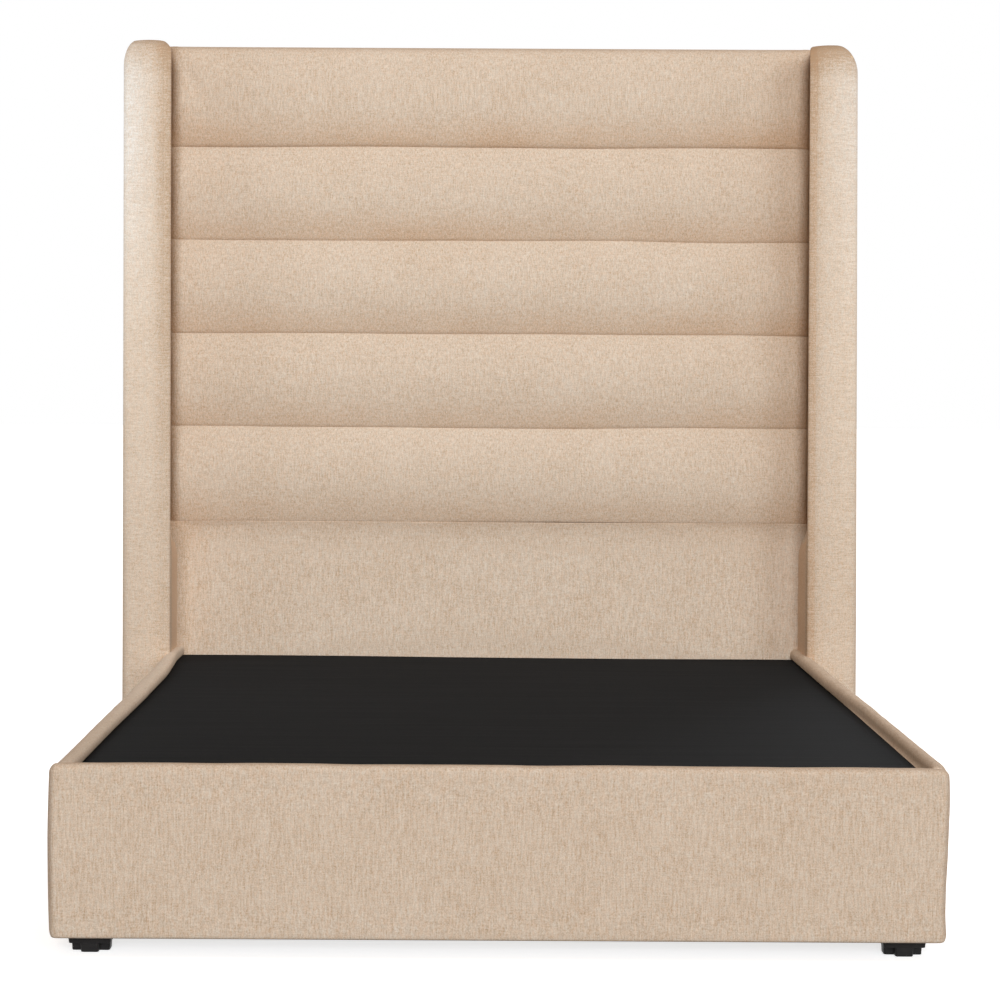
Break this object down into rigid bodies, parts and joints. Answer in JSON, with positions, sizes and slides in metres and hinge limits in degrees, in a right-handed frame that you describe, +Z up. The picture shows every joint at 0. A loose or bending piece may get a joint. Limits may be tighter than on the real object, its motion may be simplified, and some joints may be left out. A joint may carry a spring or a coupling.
{
  "type": "upholstered bed",
  "caption": "Low padded bed base with a tall winged headboard in horizontal channels; a recessed cloth-covered deck between the rails takes a mattress.",
  "frame": {"origin": "on the floor under the middle of the bed's box", "axes": "+X to the right seen from the foot end, +Y from the foot to the headboard, +Z up"},
  "size_m": [1.79, 2.154, 1.84],
  "materials": {
    "oatmeal_cloth": "woven linen-look upholstery cloth over foam",
    "black_deck_cloth": "matte black non-woven cloth",
    "black_plastic": "moulded black plastic",
    "leveller_metal": "zinc-plated steel",
    "zinc_fixings": "zinc-plated steel",
    "bracket_steel": "black powder coat",
    "plywood": "raw plywood",
    "softwood": "planed softwood"
  },
  "bodies": {
    "bed": {"beam_brackets": "bracket_steel", "bracket_screws": "zinc_fixings", "centre_beam": "softwood", "centre_leg_1": "softwood", "centre_leg_2": "softwood", "channel_pad_1": "oatmeal_cloth", "channel_pad_2": "oatmeal_cloth", "channel_pad_3": "oatmeal_cloth", "channel_pad_4": "oatmeal_cloth", "channel_pad_5": "oatmeal_cloth", "corner_block_left": "softwood", "corner_block_right": "softwood", "corner_brackets": "bracket_steel", "cross_bearers": "softwood", "deck_board_foot": "plywood", "deck_board_head": "plywood", "deck_cover": "black_deck_cloth", "foot_front_left": "black_plastic", "foot_front_right": "black_plastic", "foot_headboard_left": "black_plastic", "foot_headboard_right": "black_plastic", "foot_ledger": "softwood", "foot_rail_board": "plywood", "foot_rail_cover": "oatmeal_cloth", "foot_screws": "zinc_fixings", "head_bolt_inserts": "zinc_fixings", "head_bolts": "zinc_fixings", "head_rail_board": "plywood", "headboard_back_cover": "oatmeal_cloth", "headboard_cross_rails": "softwood", "headboard_panel": "plywood", "headboard_stile_left": "softwood", "headboard_stile_right": "softwood", "headboard_top_rail": "softwood", "ledger_screws": "zinc_fixings", "leg_dowels": "softwood", "leg_inserts": "zinc_fixings", "lower_pad": "oatmeal_cloth", "mounting_board": "softwood", "side_ledger_left": "softwood", "side_ledger_right": "softwood", "side_rail_board_left": "plywood", "side_rail_board_right": "plywood", "side_rail_cover_left": "oatmeal_cloth", "side_rail_cover_right": "oatmeal_cloth", "wing_bolts": "zinc_fixings", "wing_cover_left": "oatmeal_cloth", "wing_cover_right": "oatmeal_cloth", "wing_inner_board_left": "plywood", "wing_inner_board_right": "plywood", "wing_nuts": "zinc_fixings", "wing_outer_board_left": "plywood", "wing_outer_board_right": "plywood", "wing_post_left": "softwood", "wing_post_right": "softwood", "wing_spacers_left": "softwood", "wing_spacers_right": "softwood"},
    "leveller_1": {"leveller_1": "leveller_metal"},
    "leveller_2": {"leveller_2": "leveller_metal"}
  },
  "joints": [
    {"name": "leveller_1_travel", "type": "slide", "parent": "bed", "child": "leveller_1", "axis": [0, 0, -1], "range_m": [0, 0.012]},
    {"name": "leveller_2_travel", "type": "slide", "parent": "bed", "child": "leveller_2", "axis": [0, 0, -1], "range_m": [0, 0.012]}
  ]
}
